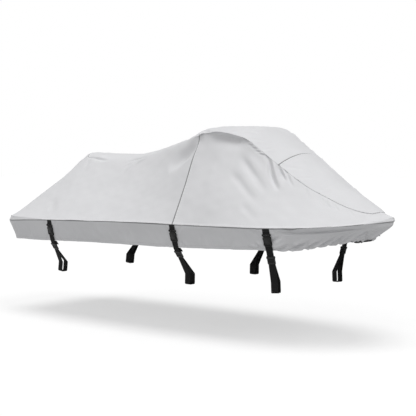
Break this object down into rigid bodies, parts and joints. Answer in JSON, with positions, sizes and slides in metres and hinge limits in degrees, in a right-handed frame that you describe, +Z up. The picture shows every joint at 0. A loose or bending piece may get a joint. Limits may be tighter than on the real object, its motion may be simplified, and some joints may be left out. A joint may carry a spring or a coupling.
{
  "type": "personal watercraft cover",
  "caption": "Fitted cloth cover for a personal watercraft on its trailer, hollow, with a hemmed skirt, buckled straps that loop round the trailer's rails and short straps at the stern.",
  "frame": {"origin": "under the hood at its highest point, on the cloth's inner face, where the watercraft's handlebar holds the cover up", "axes": "+X towards the bow, +Y to port, +Z up"},
  "size_m": [3.343, 1.227, 1.1445],
  "materials": {
    "cloth": "coated polyester canvas, matt, light grey",
    "skirt": "coated polyester canvas, matt, light grey, a little darker than the upper cloth",
    "webbing": "woven polypropylene webbing, black",
    "plastic": "moulded acetal, black, satin",
    "elastic": "braided elastic cord, black"
  },
  "bodies": {
    "root": {"stern_slope": "cloth", "rear_body": "cloth", "hood": "cloth", "nose": "cloth", "side_front_starboard": "cloth", "side_front_port": "cloth", "skirt_stern": "skirt", "skirt_rear_starboard": "skirt", "skirt_rear_port": "skirt", "skirt_front_starboard": "skirt", "skirt_front_port": "skirt", "tab_aft_starboard": "webbing", "buckle_bar_aft_starboard": "plastic", "buckle_body_aft_starboard": "plastic", "strap_aft_starboard": "webbing", "adjuster_aft_starboard": "plastic", "tab_aft_port": "webbing", "buckle_bar_aft_port": "plastic", "buckle_body_aft_port": "plastic", "strap_aft_port": "webbing", "adjuster_aft_port": "plastic", "tab_middle_starboard": "webbing", "buckle_bar_middle_starboard": "plastic", "buckle_body_middle_starboard": "plastic", "strap_middle_starboard": "webbing", "adjuster_middle_starboard": "plastic", "tab_middle_port": "webbing", "buckle_bar_middle_port": "plastic", "buckle_body_middle_port": "plastic", "strap_middle_port": "webbing", "adjuster_middle_port": "plastic", "tab_forward_starboard": "webbing", "buckle_bar_forward_starboard": "plastic", "buckle_body_forward_starboard": "plastic", "strap_forward_starboard": "webbing", "adjuster_forward_starboard": "plastic", "tab_forward_port": "webbing", "buckle_bar_forward_port": "plastic", "buckle_body_forward_port": "plastic", "strap_forward_port": "webbing", "adjuster_forward_port": "plastic", "stern_tab_starboard": "webbing", "stern_buckle_starboard": "plastic", "stern_tab_port": "webbing", "stern_buckle_port": "plastic", "bow_cord": "elastic"}
  },
  "joints": []
}
